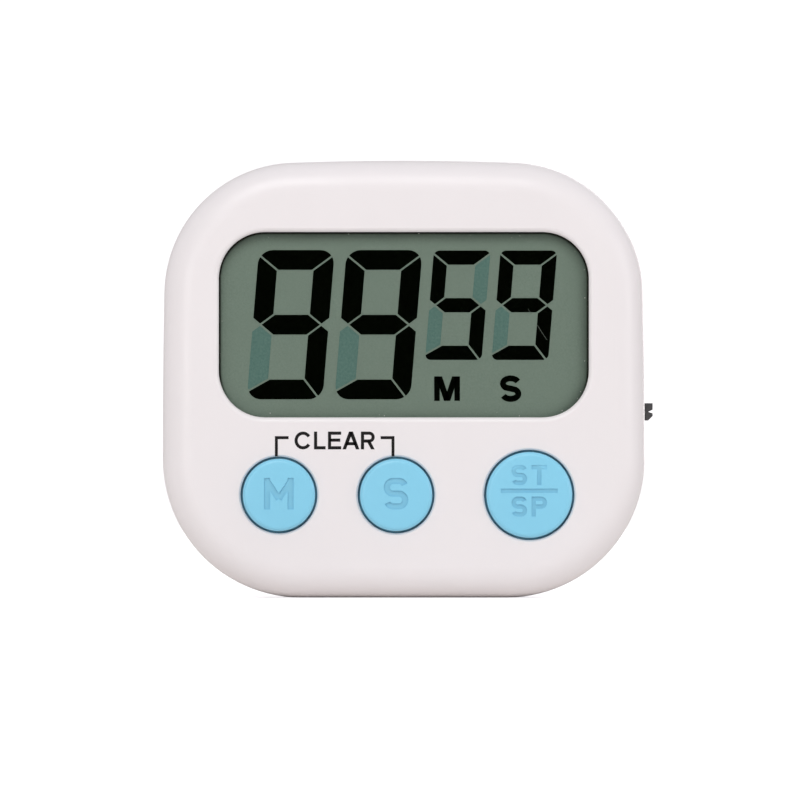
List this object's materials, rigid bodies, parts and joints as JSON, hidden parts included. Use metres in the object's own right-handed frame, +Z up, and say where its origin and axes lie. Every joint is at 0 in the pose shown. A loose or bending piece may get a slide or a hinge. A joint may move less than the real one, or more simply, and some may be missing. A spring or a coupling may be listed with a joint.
{
  "type": "digital bench timer",
  "caption": "Small white digital countdown timer with a liquid crystal display, round push buttons, side slide switch, folding stand, magnets and a battery door.",
  "frame": {"origin": "on the surface that the timer stands on, under the middle of the case's flat base", "axes": "+X to the right of someone facing the display, the display faces -Y, +Z up"},
  "size_m": [0.0763, 0.019, 0.068],
  "materials": {
    "case_plastic": "smooth white ABS, satin gloss",
    "clear_plastic": "clear acrylic pane",
    "display_grey": "grey-green film",
    "display_glass": "thin clear glass",
    "dark_foam": "closed-cell foam",
    "contact_rubber": "layered rubber, matt",
    "button_plastic": "light blue plastic, satin",
    "carbon_rubber": "matt carbon-filled rubber",
    "silicone": "grey silicone, matt",
    "board_laminate": "green solder mask",
    "black_resin": "black epoxy",
    "bright_metal": "bright plated steel",
    "dark_ferrite": "ferrite with copper winding",
    "tan_ceramic": "tan ceramic",
    "dark_plastic": "dark grey plastic",
    "brass": "rolled brass",
    "cell_sleeve": "printed shrink sleeve",
    "red_pvc": "red insulation",
    "black_pvc": "black insulation",
    "pale_ceramic": "silvered ceramic",
    "screw_steel": "zinc-plated steel",
    "magnet_nickel": "nickel-plated magnet"
  },
  "bodies": {
    "case": {"battery_can": "bright_metal", "battery_lead_black": "black_pvc", "battery_lead_red": "red_pvc", "battery_sleeve": "cell_sleeve", "battery_spring": "bright_metal", "board_screws": "screw_steel", "capacitors": "tan_ceramic", "case_screws": "screw_steel", "chip_blob": "black_resin", "circuit_board": "board_laminate", "contact_strip": "contact_rubber", "crystal": "bright_metal", "display_window": "clear_plastic", "foam_pad": "dark_foam", "front_polarizer": "display_grey", "front_shell": "case_plastic", "inductor": "dark_ferrite", "keypad_mat": "silicone", "lcd_front_glass": "display_glass", "lcd_rear_glass": "display_glass", "magnets": "magnet_nickel", "negative_contact": "bright_metal", "piezo_ceramic": "pale_ceramic", "piezo_lead_ground": "black_pvc", "piezo_lead_signal": "red_pvc", "piezo_plate": "brass", "positive_contact": "bright_metal", "rear_cover": "case_plastic", "rear_reflector": "display_grey", "resistors": "black_resin", "switch_base": "dark_plastic", "switch_can": "bright_metal", "switch_terminals": "bright_metal", "transistor": "black_resin"},
    "minute_button": {"minute_button": "button_plastic", "minute_pill": "carbon_rubber"},
    "second_button": {"second_button": "button_plastic", "second_pill": "carbon_rubber"},
    "start_stop_button": {"start_stop_button": "button_plastic", "start_stop_pill": "carbon_rubber"},
    "power_switch": {"power_switch_knob": "dark_plastic", "switch_wiper": "brass"},
    "kickstand": {"kickstand": "case_plastic"},
    "battery_door": {"battery_door": "case_plastic"}
  },
  "joints": [
    {"name": "minute_press", "type": "slide", "parent": "case", "child": "minute_button", "axis": [0, 1, 0], "range_m": [0, 0.0008], "stiffness_N_per_m": 800, "deforming": ["keypad_mat"]},
    {"name": "second_press", "type": "slide", "parent": "case", "child": "second_button", "axis": [0, 1, 0], "range_m": [0, 0.0008], "stiffness_N_per_m": 800, "deforming": ["keypad_mat"]},
    {"name": "start_stop_press", "type": "slide", "parent": "case", "child": "start_stop_button", "axis": [0, 1, 0], "range_m": [0, 0.0008], "stiffness_N_per_m": 800, "deforming": ["keypad_mat"]},
    {"name": "power_slide", "type": "slide", "parent": "case", "child": "power_switch", "axis": [0, 0, -1], "range_m": [0, 0.002]},
    {"name": "stand_swing", "type": "hinge", "parent": "case", "child": "kickstand", "pos_m": [0, 0.0078, 0.0411], "axis": [1, 0, 0], "range_deg": [0, 60]},
    {"name": "door_slide", "type": "slide", "parent": "case", "child": "battery_door", "axis": [0, 0, 1], "range_m": [0, 0.024]}
  ]
}
